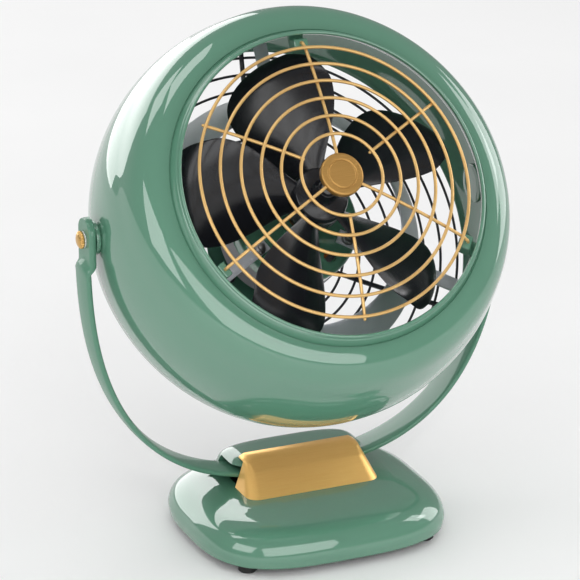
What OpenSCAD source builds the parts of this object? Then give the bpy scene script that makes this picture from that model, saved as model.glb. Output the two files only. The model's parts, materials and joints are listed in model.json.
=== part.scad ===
// Round-headed retro desk fan on a U-shaped yoke and a weighted base.
// Origin: on the table, under the middle of the fan. +Z up, the fan blows towards -Y.

/* [Head] */
// Largest radius of the round head casing
head_r = 145; // [140:1:150]
// Wall thickness of the head casing
shell_t = 2.2; // [1.6:0.1:3]
// Upward tilt of the head from level, as it stands
head_tilt = 36.7; // [0:0.1:45]
// Radius of the front opening, at its beaded edge
mouth_r = 106.3; // [104:0.1:108]
// How far the beaded edge lies in front of the head's centre
mouth_z = 74.7; // [73:0.1:77]
// How far the rear edge of the casing lies behind the head's centre
rear_z = 38; // [34:1:42]

/* [Front grille] */
// Number of concentric wire rings
ring_count = 6; // [3:1:7]
// Radius of the smallest wire ring
ring_first_r = 28.8; // [24:0.1:32]
// Step in radius from one ring to the next
ring_step = 13.3; // [12:0.1:14]
// Diameter of the grille wire
wire_d = 2.3; // [2:0.1:3.2]
// Radius of the hub cap in the middle of the grille
hub_cap_r = 15; // [12:0.5:18]

/* [Blade] */
// Number of blades
blade_count = 5; // [3:1:6]
// Radius at the blade tips
blade_r = 104; // [80:1:104]
// Pitch of the blades at the hub
blade_pitch_root = 46; // [20:1:48]
// Pitch of the blades at the tip
blade_pitch_tip = 28; // [10:1:30]

/* [Yoke] */
// Half of the outer width of the yoke
yoke_a = 157.3; // [156:0.1:160]
// Height of the pivots above the table
pivot_z = 229; // [225:1:240]
// Width of the yoke's band
yoke_w = 24; // [20:1:26]
// Thickness of the yoke's band
yoke_t = 5; // [4:0.5:6]
// How far the pivots lie behind the middle of the base
yoke_y = 14.7; // [12:0.1:16]

/* [Base] */
// Half of the width of the base
base_a = 91; // [88:1:96]
// Half of the depth of the base
base_b = 81; // [80:1:88]
// Height of the base's lower edge above the table
base_z = 8; // [7.5:0.5:10]
// Wall thickness of the base casting
base_t = 3; // [2.5:0.5:4]
// Half of the width of the gold cover at its foot
cover_a = 50; // [48:1:52]

/* [Hidden] */
$fn = 96;
eps = 0.01;

green = [0.37, 0.55, 0.45];
gold = [0.77, 0.58, 0.30];
black = [0.08, 0.08, 0.09];
steel = [0.62, 0.63, 0.65];
grey = [0.50, 0.51, 0.54];
dark_wire = [0.20, 0.20, 0.23];
copper = [0.72, 0.43, 0.20];
white = [0.86, 0.86, 0.84];

// The gap kept between parts that move past each other
gap = 0.3;
// The pivots lie above the head's centre and behind it, measured square to its axis and along it
pivot_lift = 7.7;
pivot_back = 5.2;

// ---- frames ----
// Draws in the head's frame: +Z out of the front of the grille, +Y towards the top of the head
module in_head() {
    translate([0, yoke_y, pivot_z])
        rotate([90 - head_tilt, 0, 0])
            translate([0, -pivot_lift, pivot_back])
                children();
}

// Draws in the head's frame with the pivots' axis along X
module at_pivots() {
    in_head() translate([0, pivot_lift, -pivot_back]) children();
}

// Repeats its children round the head's axis
module around(angles) {
    for (a = angles) rotate([0, 0, a]) children();
}

// Repeats its children on both sides, mirrored
module both_sides() {
    children();
    mirror([1, 0, 0]) children();
}

// A flat ring with square edges
module washer(r_in, r_out, h) {
    difference() {
        cylinder(r = r_out, h = h);
        translate([0, 0, -1]) cylinder(r = r_in, h = h + 2);
    }
}

// A pan-head screw: the head stands on z = 0 and the shank goes down
module pan_screw(r, l, head_r, head_h) {
    translate([0, 0, -l]) cylinder(r = r, h = l);
    difference() {
        cylinder(r = head_r, h = head_h);
        for (a = [0, 90]) rotate([0, 0, a])
            translate([-head_r * 0.6, -0.5, head_h * 0.5]) cube([head_r * 1.2, 1, head_h]);
    }
}

module hex_nut(across_flats, r_bore, h) {
    difference() {
        cylinder(r = across_flats / sqrt(3), h = h, $fn = 6);
        translate([0, 0, -1]) cylinder(r = r_bore, h = h + 2);
    }
}

// ---- closed loft through superellipse rings [z, half width, half depth, exponent, middle y] ----
loft_sides = 64;
function signed_power(v, p) = sign(v) * pow(abs(v), p);
function loft_ring(s) = [for (i = [0 : loft_sides - 1]) let (t = 360 * i / loft_sides)
    [s[1] * signed_power(cos(t), 2 / s[3]), s[4] + s[2] * signed_power(sin(t), 2 / s[3]), s[0]]];
module loft(sections) {
    n = loft_sides;
    last = len(sections) - 1;
    points = [for (s = sections) each loft_ring(s)];
    sides = [for (k = [0 : last - 1], i = [0 : n - 1]) let (j = (i + 1) % n)
        each [[k * n + i, k * n + j, (k + 1) * n + i], [k * n + j, (k + 1) * n + j, (k + 1) * n + i]]];
    caps = [[for (i = [n - 1 : -1 : 0]) i], [for (i = [0 : n - 1]) last * n + i]];
    polyhedron(points, concat(sides, caps), convexity = 6);
}

// ---- base ----
base_yc = -7;
// How square the base's outline is: 2 would be an ellipse
base_n = 3.2;
crown_z = 52;
// Level of the shelf that the gold cover stands on
shelf_z = 33.5;
// Underside of the yoke where it lies flat in the base
yoke_floor = 36;
plate_z = base_z + 0.5;
plate_t = 2;
ballast_z = plate_z + plate_t;
ballast_h = 13.5;
saddle_z = ballast_z + ballast_h;
foot_spots = [for (x = [-67, 67], y = [-54, 54]) [x, base_yc + y]];
screw_spots = [for (x = [-53, 53], y = [-46, 46]) [x, base_yc + y]];
screw_boss_top = 30.6;
bolt_spots = [for (x = [-22, 22]) [x, yoke_y]];

// Outer form of the base from the crown down to the lower edge
base_outer = [
    [crown_z, 36, 10, 3.0, yoke_y + 7],
    [crown_z - 0.8, 44, 16, 3.2, yoke_y + 6],
    [crown_z - 3, 49, 21, 3.6, yoke_y + 5],
    [46, 51.5, 26, 3.8, yoke_y + 3],
    [41, 54, 33, 3.8, yoke_y - 1],
    [36, 57, 41, 3.8, yoke_y - 5],
    [33.9, 60.5, 47, 3.7, yoke_y - 9],
    [33, 65, 53.5, 3.5, yoke_y - 13],
    [32.1, 71, 61, 3.3, base_yc + 3],
    [30.8, 77, 67, base_n, base_yc + 1],
    [28.6, 82, 72, base_n, base_yc],
    [25.8, 85.8, 75.8, base_n, base_yc],
    [22.5, 88.4, 78.4, base_n, base_yc],
    [19, 90, 80, base_n, base_yc],
    [14, base_a, base_b, base_n, base_yc],
    [base_z, base_a - 0.8, base_b - 0.8, base_n, base_yc]];
// The inside follows the outside, one wall thickness in
base_inner = [for (i = [len(base_outer) - 1 : -1 : 0]) let (s = base_outer[i])
    [i == len(base_outer) - 1 ? s[0] : s[0] - base_t, s[1] - base_t, s[2] - base_t, s[3], s[4]]];

module base_shell() color(green)
    difference() {
        union() {
            loft(concat(base_outer, base_inner));
            for (p = screw_spots) translate([p[0], p[1], ballast_z])
                cylinder(r = 4.5, h = screw_boss_top - ballast_z);
        }
        // The seat of the gold cover in front of the crown
        translate([-70, -70, shelf_z]) cube([140, 70 + yoke_y - yoke_w / 2 - 0.8, 40]);
        // The tunnel that the yoke passes through
        translate([-70, yoke_y - yoke_w / 2 - 0.8, shelf_z]) cube([140, yoke_w + 1.6, 48.2 - shelf_z]);
        for (p = screw_spots) translate([p[0], p[1], ballast_z - 1]) cylinder(r = 1.6, h = 10);
    }

module base_outline(inset) {
    polygon([for (p = loft_ring([0, base_a - inset, base_b - inset, base_n, base_yc])) [p[0], p[1]]]);
}

module base_plate() color(steel)
    translate([0, 0, plate_z])
        difference() {
            linear_extrude(plate_t) base_outline(4.8);
            for (p = foot_spots) translate([p[0], p[1], -1]) cylinder(r = 2, h = plate_t + 2);
            for (p = screw_spots) translate([p[0], p[1], -1]) cylinder(r = 1.7, h = plate_t + 2);
            for (p = bolt_spots) translate([p[0], p[1], -1]) cylinder(r = 3.1, h = plate_t + 2);
        }

module ballast_weight() color(dark_wire)
    translate([0, 0, ballast_z])
        difference() {
            translate([-44, -50, 0]) cube([88, 100, ballast_h]);
            for (p = bolt_spots) translate([p[0], p[1], -1]) cylinder(r = 3.1, h = ballast_h + 2);
        }

foot_r = 6.5;
module rubber_feet() color(black)
    for (p = foot_spots) translate([p[0], p[1], 0])
        difference() {
            union() {
                cylinder(r1 = foot_r - 1, r2 = foot_r, h = 1);
                translate([0, 0, 1]) cylinder(r = foot_r, h = plate_z - 1);
            }
            translate([0, 0, -1]) cylinder(r = 3.4, h = 4);
            cylinder(r = 1.9, h = plate_z + 1);
        }

module foot_screws() color(steel)
    for (p = foot_spots) translate([p[0], p[1], 3]) rotate([180, 0, 0])
        pan_screw(1.9, plate_z + plate_t + 1.5 - 3, 3.2, 1.8);

module plate_screws() color(steel)
    for (p = screw_spots) translate([p[0], p[1], plate_z])
        rotate([180, 0, 0]) pan_screw(1.6, 9, 3.2, 1.8);

// ---- yoke ----
// Height of the yoke's curve, from its pivots down to its outer underside
yoke_b = pivot_z - yoke_floor;
yoke_exponent = 2.6;
// The joggle that brings the ends of the yoke closer to the head
joggle = 3.4;
joggle_low = pivot_z - 19;
joggle_high = pivot_z - 12;
yoke_end_r = 13;
arm_out = yoke_a - joggle;
arm_in = arm_out - yoke_t;
pivot_bore_r = 4.05;
pivot_shank_r = 4;

function yoke_curve(a, b, steps) = [for (i = [0 : steps]) let (t = 90 * i / steps)
    [a * pow(cos(t), 2 / yoke_exponent), pivot_z - b * pow(sin(t), 2 / yoke_exponent)]];
function mirrored(points) = [for (i = [len(points) - 1 : -1 : 0]) [-points[i][0], points[i][1]]];

// Half of the yoke's outline, from the joggle down to the middle
outer_half = concat([[arm_out, pivot_z + 20], [arm_out, joggle_high], [yoke_a, joggle_low]],
                    [for (p = yoke_curve(yoke_a, yoke_b, 40)) if (p[1] < joggle_low - 1) p]);
inner_half = concat([[arm_in, pivot_z + 20], [arm_in, joggle_high], [yoke_a - yoke_t, joggle_low]],
                    [for (p = yoke_curve(yoke_a - yoke_t, yoke_b - yoke_t, 40))
                        if (p[1] < joggle_low - 1) p]);

function reversed(points) = [for (i = [len(points) - 1 : -1 : 0]) points[i]];
function both_halves(half) = concat(half, mirrored(half));

module yoke() color(green)
    difference() {
        intersection() {
            translate([0, yoke_y + yoke_w / 2, 0]) rotate([90, 0, 0]) linear_extrude(yoke_w)
                polygon(concat(both_halves(outer_half), reversed(both_halves(inner_half))));
            // Rounds the ends of the arms
            union() {
                translate([-200, yoke_y - 50, 0]) cube([400, 100, pivot_z + 2]);
                translate([-200, yoke_y, pivot_z + 2]) rotate([0, 90, 0]) cylinder(r = yoke_end_r, h = 400);
            }
        }
        translate([-200, yoke_y, pivot_z]) rotate([0, 90, 0]) cylinder(r = pivot_bore_r, h = 400);
        for (p = bolt_spots) translate([p[0], p[1], yoke_floor - 1]) cylinder(r = 3.1, h = yoke_t + 4);
    }

clamp_t = 2.5;
// The clamp rests on the rising curve of the yoke, so it stands a little above the yoke's middle
clamp_a = 28;
clamp_z = yoke_floor + yoke_t + 0.9;
module yoke_saddle() color(dark_wire)
    difference() {
        intersection() {
            translate([-34, yoke_y - yoke_w / 2, saddle_z]) cube([68, yoke_w, yoke_floor - saddle_z + 2]);
            // Takes the gentle curve of the yoke's underside
            translate([0, yoke_y + yoke_w, 0]) rotate([90, 0, 0]) linear_extrude(2 * yoke_w)
                polygon(concat([[60, 0]], [for (p = outer_half) if (p[1] < 45) p],
                               mirrored([for (p = outer_half) if (p[1] < 45) p]), [[-60, 0]]));
        }
        for (p = bolt_spots) translate([p[0], p[1], 0]) cylinder(r = 3.1, h = 50);
    }

module yoke_clamp() color(steel)
    difference() {
        translate([-clamp_a, yoke_y - 10, clamp_z]) cube([2 * clamp_a, 20, clamp_t]);
        for (p = bolt_spots) translate([p[0], p[1], 0]) cylinder(r = 3.1, h = 60);
    }

bolt_top = clamp_z + clamp_t;
module yoke_bolts() color(steel)
    for (p = bolt_spots) translate([p[0], p[1], 0]) {
        translate([0, 0, 3]) cylinder(r = 3, h = bolt_top - 3);
        translate([0, 0, bolt_top]) cylinder(r = 10 / sqrt(3), h = 3.6, $fn = 6);
    }

module yoke_nuts() color(steel)
    for (p = bolt_spots) translate([p[0], p[1], plate_z - 4.5]) hex_nut(10, 3, 4.5);

// ---- gold cover ----
cover_top_z = 55;
cover_front_y = yoke_y - 39.8;
cover_back_y = yoke_y - 4.7;
cover_t = 1.2;
cover_taper = 6;
cover_corner = 9;
// Solid form of the cover, drawn in by the given amount
module cover_form(inset) {
    a = cover_a - inset;
    top = cover_top_z - inset;
    front = cover_front_y + 1.5 * inset;
    intersection() {
        // Front view: narrower at the top
        translate([0, 60, 0]) rotate([90, 0, 0]) linear_extrude(120)
            polygon([[-a, shelf_z], [a, shelf_z], [a - cover_taper, top - 4], [a - cover_taper - 4, top],
                     [-a + cover_taper + 4, top], [-a + cover_taper, top - 4]]);
        // Side view: a sloping face that rolls over at the top
        translate([-60, 0, 0]) rotate([90, 0, 90]) linear_extrude(120)
            polygon([[front, shelf_z], [cover_back_y, shelf_z], [cover_back_y, top],
                     [cover_back_y - 7, top], [cover_back_y - 12, top - 1.3],
                     [cover_back_y - 15.5, top - 4]]);
        // Top view: rounded front corners
        translate([0, 0, shelf_z]) linear_extrude(60) union() {
            translate([-a, front + cover_corner]) square([2 * a, 60]);
            translate([-a + cover_corner, front]) square([2 * (a - cover_corner), 20]);
            for (s = [-1, 1]) translate([s * (a - cover_corner), front + cover_corner])
                circle(r = cover_corner);
        }
    }
}
module gold_cover() color(gold)
    difference() {
        cover_form(0);
        translate([0, 0, -eps]) cover_form(cover_t);
        translate([-80, yoke_y - yoke_w / 2 - 0.8, 0]) cube([160, 60, crown_z + 0.1]);
    }

// ---- head casing ----
function arc(cx, cy, r, from, to, steps) = [for (i = [0 : steps])
    let (t = from + (to - from) * i / steps) [cx + r * cos(t), cy + r * sin(t)]];
// The casing is slightly shorter along its axis than it is wide
axis_scale = 0.95;
rear_angle = -asin(rear_z / (head_r * axis_scale));
shoulder_angle = 23;
shoulder_r = 20.7;
shoulder_c = [(head_r - shoulder_r) * cos(shoulder_angle) + 0.9,
              head_r * axis_scale * sin(shoulder_angle) - shoulder_r * sin(shoulder_angle)];
bead_r = 1.4;
rear_bead_r = 1.8;
rear_edge_r = head_r * cos(rear_angle);
function casing_arc(inset, steps) = [for (i = [0 : steps])
    let (t = rear_angle + (shoulder_angle - rear_angle) * i / steps)
    [(head_r - inset) * cos(t), (head_r * axis_scale - inset) * sin(t)]];

casing_profile = concat(
    casing_arc(0, 24),
    arc(shoulder_c[0], shoulder_c[1], shoulder_r, shoulder_angle + 6, 96, 12),
    [[mouth_r + 5.9, mouth_z - 9.3]],
    arc(mouth_r + bead_r, mouth_z - bead_r, bead_r, 20, 180, 6),
    [[mouth_r + 3.3, mouth_z - 10.8]],
    arc(shoulder_c[0], shoulder_c[1], shoulder_r - shell_t, 95, shoulder_angle + 6, 10),
    reversed(casing_arc(shell_t, 24)));

boss_r = 10;
module head_shell() color(green) in_head()
    difference() {
        union() {
            rotate_extrude() polygon(casing_profile);
            // Rolled rear edge
            rotate_extrude() translate([rear_edge_r - rear_bead_r, -rear_z])
                circle(r = rear_bead_r, $fn = 24);
        }
        translate([-200, pivot_lift, -pivot_back]) rotate([0, 90, 0]) cylinder(r = boss_r, h = 400);
    }

boss_face = arm_in - gap;
// The screws' bores are blind and start here
shank_start = 138.5;
module pivot_bosses() color(green) at_pivots()
    both_sides() rotate([0, 90, 0]) difference() {
        union() {
            translate([0, 0, 136]) cylinder(r = boss_r, h = boss_face - 136);
            translate([0, 0, 136]) cylinder(r = 14, h = 3.2);
            translate([0, 0, head_r + 0.2]) cylinder(r = 11.5, h = boss_face - head_r - 0.2);
        }
        translate([0, 0, shank_start]) cylinder(r = pivot_shank_r, h = 30);
    }

washer_t = 1;
module pivot_washers() color(white) at_pivots()
    both_sides() rotate([0, 90, 0]) translate([0, 0, arm_out + gap / 2])
        washer(pivot_shank_r, 5.9, washer_t);

screw_face = arm_out + gap / 2 + washer_t;
module pivot_screws() color(gold) at_pivots()
    both_sides() rotate([0, 90, 0]) {
        translate([0, 0, shank_start]) cylinder(r = pivot_shank_r, h = screw_face - shank_start);
        translate([0, 0, screw_face]) cylinder(r = 6.2, h = 2);
        translate([0, 0, screw_face + 2]) cylinder(r1 = 6.2, r2 = 3.6, h = 1.8);
    }

// ---- front grille ----
wire_r = wire_d / 2;
dome_r = 330;
dome_top = 91.8;
grille_angle = 88;
long_spokes = [for (i = [0 : 2]) grille_angle - 120 * i];
short_spokes = [for (i = [0 : 2]) grille_angle - 60 - 120 * i];
function dome_z(r) = dome_top - dome_r + sqrt(dome_r * dome_r - r * r);
function ring_r(i) = ring_first_r + ring_step * i;
last_ring_r = ring_r(ring_count - 1);
// The spokes lie just behind the rings
spoke_drop = wire_d - 0.05;
post_r = 101.5;
// Each long spoke ends in a short post that stands in its tab
spoke_post_r = wire_r + 0.2;
post_high = dome_z(post_r) - spoke_drop + wire_r;
post_low = 64;
tab_top = 71;

module grille_rings() color(gold) in_head()
    for (i = [0 : ring_count - 1]) translate([0, 0, dome_z(ring_r(i))])
        rotate_extrude() translate([ring_r(i), 0]) circle(r = wire_r, $fn = 24);

// A wire that follows the grille's dome behind the rings, from one radius to another
module dome_wire(r_from, r_to) {
    from = asin(r_from / dome_r);
    to = asin(r_to / dome_r);
    translate([0, 0, dome_top - dome_r - spoke_drop]) rotate([90, 0, 0]) rotate([0, 0, 90 - to])
        rotate_extrude(angle = to - from, $fn = 360) translate([dome_r, 0]) circle(r = wire_r, $fn = 32);
}

module grille_spokes() color(gold) in_head() {
    around(short_spokes) dome_wire(ring_first_r, last_ring_r);
    around(long_spokes) {
        dome_wire(6, post_r);
        translate([post_r, 0, post_low]) cylinder(r = spoke_post_r, h = post_high - post_low, $fn = 32);
    }
}

// The tabs are welded under the inner edge of the casing's rim
tab_foot = 63.9;
module grille_tabs() color(green) in_head()
    around(long_spokes) difference() {
        union() {
            translate([post_r - 4, -5, tab_foot - 3.5]) cube([15.5, 10, 3.5]);
            translate([post_r - 4, -5, tab_foot - 3.5]) cube([8, 10, tab_top - tab_foot + 3.5]);
        }
        translate([post_r, 0, post_low]) cylinder(r = spoke_post_r, h = 20, $fn = 32);
    }

cap_z = dome_z(0) - spoke_drop - wire_r - 0.3;
cap_top = dome_top + 0.2;
module grille_hub_cap() color(gold) in_head()
    difference() {
        union() {
            difference() {
                translate([0, 0, cap_z]) cylinder(r = hub_cap_r, h = cap_top - cap_z - 0.8);
                translate([0, 0, cap_z - 1]) cylinder(r = hub_cap_r - 1.6, h = 1 + spoke_drop + wire_r + 0.4);
            }
            translate([0, 0, cap_top - 0.8]) cylinder(r1 = hub_cap_r, r2 = hub_cap_r - 1, h = 0.8);
            translate([0, 0, cap_z]) cylinder(r = 3, h = cap_top - cap_z - 0.8);
        }
        translate([0, 0, cap_z - 1]) cylinder(r = 1.5, h = 4);
        // A plain ring-shaped groove
        translate([0, 0, cap_top - 0.4]) washer(9.5, 10.3, 1);
        around(long_spokes) translate([10, -wire_r - 0.05, cap_z - 1])
            cube([10, wire_d + 0.1, 1.3 + 2 * wire_r]);
    }

module grille_back_plate() color(steel) in_head()
    translate([0, 0, cap_z - 1.6]) washer(1.6, hub_cap_r - 1.7, 1.6);

module grille_screw() color(steel) in_head()
    translate([0, 0, cap_z - 1.6]) rotate([180, 0, 0]) pan_screw(1.5, 4.4, 3, 1.6);

// ---- motor and its straps ----
strap_angles = long_spokes;
strap_w = 9.5;
strap_t = 2.5;
// Front face of the motor
motor_face = -4;
motor_r = 45.5;
bolt_circle = 38;
bolt_r = 2;
core_front = -16;
core_back = -30;
rear_housing_r = 43;
rear_housing_back = -46;
housing_t = 2.5;
bearing_r = 9;
shaft_r = 4;
shaft_clear = 0.04;
bearing_l = 10;

module inside_of_casing() {
    rotate_extrude() polygon(concat([[0, -rear_z]], casing_arc(shell_t, 24), [[0, 50]]));
}

module motor_straps() color(grey) in_head()
    difference() {
        intersection() {
            around(strap_angles) union() {
                translate([31, -strap_w / 2, motor_face]) cube([130, strap_w, strap_t]);
                translate([139, -strap_w / 2, motor_face - 14]) cube([20, strap_w, 14 + strap_t]);
            }
            inside_of_casing();
        }
        around(strap_angles) translate([bolt_circle, 0, motor_face - 1]) cylinder(r = bolt_r, h = 6);
    }

bolt_back = rear_housing_back - 5;
module strap_bolts() color(steel) in_head()
    around(strap_angles) translate([bolt_circle, 0, 0]) {
        translate([0, 0, bolt_back]) cylinder(r = bolt_r, h = motor_face + strap_t - bolt_back);
        translate([0, 0, motor_face + strap_t]) cylinder(r = 4.6, h = 0.8);
        translate([0, 0, motor_face + strap_t + 0.8]) cylinder(r = 7 / sqrt(3), h = 3, $fn = 6);
        translate([0, 0, motor_face + strap_t + 3.8]) cylinder(r = bolt_r, h = 2.4);
    }

module strap_nuts() color(steel) in_head()
    around(strap_angles) translate([bolt_circle, 0, rear_housing_back - 3.2]) hex_nut(7, bolt_r, 3.2);

deflector_front_r = 78;
deflector_back_r = 100;
deflector_back = -32;
deflector_t = 1.6;
module deflector_ring() color(grey) in_head()
    rotate_extrude() polygon([
        [deflector_front_r, motor_face],
        [deflector_back_r, deflector_back],
        [deflector_back_r - deflector_t, deflector_back],
        [deflector_front_r - deflector_t, motor_face]]);

vent_angles = [60, 180, 300];
vent_circle = 34.5;
module front_housing() color(green) in_head()
    difference() {
        rotate_extrude() polygon(concat([[0, motor_face - 1.5], [shaft_r + 2, motor_face - 1.5],
            [shaft_r + 2, motor_face], [motor_r - 4, motor_face]],
            arc(motor_r - 4, motor_face - 4, 4, 80, 0, 8), [[motor_r, core_front], [0, core_front]]));
        // Room for the windings, round the bearing's pocket
        translate([0, 0, core_front - 1])
            washer(bearing_r + 2.5, motor_r - housing_t - 5.5, motor_face - housing_t - core_front + 1);
        translate([0, 0, core_front - 1]) cylinder(r = bearing_r, h = bearing_l + 1);
        translate([0, 0, core_front]) cylinder(r = shaft_r + 1, h = 20);
        around(strap_angles) translate([bolt_circle, 0, core_front - 1]) cylinder(r = bolt_r, h = 30);
        around(vent_angles) translate([vent_circle, 0, motor_face - 5]) cylinder(r = 4.4, h = 10);
    }

module rear_housing() color(dark_wire) in_head()
    difference() {
        translate([0, 0, rear_housing_back]) cylinder(r = rear_housing_r, h = core_back - rear_housing_back);
        translate([0, 0, rear_housing_back + housing_t])
            washer(bearing_r + 2.5, 34, core_back - rear_housing_back);
        translate([0, 0, core_back - bearing_l]) cylinder(r = bearing_r, h = bearing_l + 1);
        translate([0, 0, rear_housing_back - 1]) cylinder(r = shaft_r + 1, h = 30);
        around(strap_angles) translate([bolt_circle, 0, rear_housing_back - 1]) cylinder(r = bolt_r, h = 30);
    }

stator_bore = 24;
module stator_core() color(steel) in_head()
    difference() {
        translate([0, 0, core_back]) cylinder(r = motor_r, h = core_front - core_back);
        translate([0, 0, core_back - 1]) cylinder(r = stator_bore, h = 30);
        around(strap_angles) translate([bolt_circle, 0, core_back - 1]) cylinder(r = bolt_r, h = 30);
    }

module stator_windings() color(copper) in_head() {
    translate([0, 0, core_front]) washer(stator_bore + 1.5, 33, 6);
    translate([0, 0, core_back - 8]) washer(stator_bore + 1.5, 33, 8);
}

module sleeve_bearing(z) {
    translate([0, 0, z]) washer(shaft_r + shaft_clear, bearing_r, bearing_l - 1.5);
}
module front_bearing() color(copper) in_head() sleeve_bearing(core_front + 1.5);
module rear_bearing() color(copper) in_head() sleeve_bearing(core_back - bearing_l);

module bearing_retainers() color(steel) in_head() {
    translate([0, 0, core_front + 0.7]) washer(6, bearing_r, 0.8);
    translate([0, 0, core_back - 1.5]) washer(6, bearing_r, 0.8);
}

// ---- rotor: turns on the head's axis ----
rotor_r = stator_bore - 0.35;
shaft_back = rear_housing_back - 3;
hub_back = 28;
hub_front = 52;
hub_r = 20;
shaft_front = hub_front + 8;

module rotor_shaft() color(steel) in_head()
    difference() {
        translate([0, 0, shaft_back]) cylinder(r = shaft_r, h = shaft_front - shaft_back);
        translate([-20, 0, hub_back + 5]) rotate([0, 90, 0]) cylinder(r = 1.5, h = 40);
    }

module rotor_core() color(steel) in_head()
    translate([0, 0, core_back + 1.2]) washer(shaft_r, rotor_r, core_front - core_back - 2.4);

module thrust_washers() color(white) in_head() {
    translate([0, 0, core_front - 1.2]) washer(shaft_r, 5.8, 1.6);
    translate([0, 0, core_back - 0.4]) washer(shaft_r, 5.8, 1.6);
}

module drive_pin() color(steel) in_head()
    translate([-9, 0, hub_back + 5]) rotate([0, 90, 0]) cylinder(r = 1.5, h = 18);

// One blade as a closed sheet: radii from hub to tip, chord from trailing to leading edge
blade_rows = 12;
blade_cols = 9;
blade_t = 2.2;
blade_root = hub_r - 4;
blade_mid_z = 40;
blade_first_angle = 25;
// The blade is a paddle: it widens from the root and is widest at three quarters of its length
blade_root_chord = 22;
blade_full_chord = 78;
function blade_chord(f) = blade_root_chord
    + (blade_full_chord - blade_root_chord) * pow(sin(90 * min(1, f / 0.75)), 1.25);
// Rounds the tip by drawing the chord in, and leans it towards the front edge
function tip_round(f) = f < 0.72 ? 1 : sqrt(max(0.02, 1 - pow((f - 0.72) / 0.285, 2)));
function tip_lean(f) = f < 0.8 ? 0 : -8 * pow((f - 0.8) / 0.2, 2);
function blade_point(f, c, side) =
    let (r = blade_root + (blade_r - blade_root) * f,
         chord = blade_chord(f) * tip_round(f),
         pitch = blade_pitch_root + (blade_pitch_tip - blade_pitch_root) * f,
         s = chord * (c - 0.5),
         camber = 3.2 * (1 - 4 * (c - 0.5) * (c - 0.5)),
         turn = s * cos(pitch) / r * 180 / PI + tip_lean(f),
         z = blade_mid_z - s * sin(pitch) + camber + side * blade_t / 2)
    [r * cos(turn), r * sin(turn), z];
module one_blade() {
    nr = blade_rows;
    nc = blade_cols;
    count = (nr + 1) * (nc + 1);
    points = [for (side = [1, -1], i = [0 : nr], j = [0 : nc]) blade_point(i / nr, j / nc, side)];
    top = [for (i = [0 : nr - 1], j = [0 : nc - 1]) let (a = i * (nc + 1) + j, b = a + nc + 1)
        each [[a, a + 1, b], [b, a + 1, b + 1]]];
    bottom = [for (t = top) [t[0] + count, t[2] + count, t[1] + count]];
    rim = concat([for (j = [0 : nc - 1]) [j, j + 1]],
                 [for (i = [0 : nr - 1]) [nc + i * (nc + 1), nc + (i + 1) * (nc + 1)]],
                 [for (j = [nc : -1 : 1]) [nr * (nc + 1) + j, nr * (nc + 1) + j - 1]],
                 [for (i = [nr : -1 : 1]) [i * (nc + 1), (i - 1) * (nc + 1)]]);
    edge = [for (e = rim) each [[e[0], e[0] + count, e[1]], [e[1], e[0] + count, e[1] + count]]];
    polyhedron(points, concat(top, bottom, edge), convexity = 4);
}

module fan_blade() color(black) in_head()
    difference() {
        union() {
            translate([0, 0, hub_back]) cylinder(r = hub_r, h = hub_front - hub_back);
            around([for (i = [0 : blade_count - 1]) 360 / blade_count * i + blade_first_angle]) one_blade();
        }
        translate([0, 0, hub_back - 20]) cylinder(r = shaft_r, h = 80);
        // Cross slot for the drive pin, open at the back
        translate([-9, -1.5, hub_back - 20]) cube([18, 3, 25]);
        translate([-9, 0, hub_back + 5]) rotate([0, 90, 0]) cylinder(r = 1.5, h = 18);
    }

module blade_nut() color(black) in_head()
    translate([0, 0, hub_front]) difference() {
        union() {
            cylinder(r = 9, h = 4);
            translate([0, 0, 4]) cylinder(r1 = 9, r2 = 6.5, h = 6);
        }
        translate([0, 0, -1]) cylinder(r = shaft_r, h = shaft_front - hub_front + 1);
    }

// ---- rear guard ----
guard_edge_r = 138;
guard_sag = 26;
guard_wire_r = 0.95;
rib_t = 2;
rib_w = 3.2;
rib_pad_r = 4;
guard_tip_r = 136.3;
rib_inner_r = 38;
plate_screw_circle = 40.4;
plate_screw_r = 1.5;
function guard_z(r) = -40 - guard_sag * (1 - r * r / (guard_edge_r * guard_edge_r));
guard_radii = [for (i = [0 : 7]) 54.8 + 11.2 * i];

module guard_dome(r_from, r_to, t) {
    steps = 12;
    radii = [for (i = [0 : steps]) r_from + (r_to - r_from) * i / steps];
    rotate_extrude() polygon(concat([for (r = radii) [r, guard_z(r)]],
                                    [for (i = [steps : -1 : 0]) [radii[i], guard_z(radii[i]) + t]]));
}

module rear_guard_rings() color(dark_wire) in_head()
    for (r = guard_radii) translate([0, 0, guard_z(r) - guard_wire_r + 0.04])
        rotate_extrude() translate([r, 0]) circle(r = guard_wire_r, $fn = 24);

module rear_guard_ribs() color(dark_wire) in_head()
    difference() {
        intersection() {
            guard_dome(rib_inner_r - 1.5, guard_tip_r, rib_t);
            around(strap_angles) union() {
                translate([rib_inner_r, -rib_w / 2, -80]) cube([120, rib_w, 60]);
                translate([plate_screw_circle, 0, -80]) cylinder(r = rib_pad_r, h = 60);
            }
        }
        around(strap_angles) translate([plate_screw_circle, 0, -80]) cylinder(r = plate_screw_r, h = 60);
    }

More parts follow.
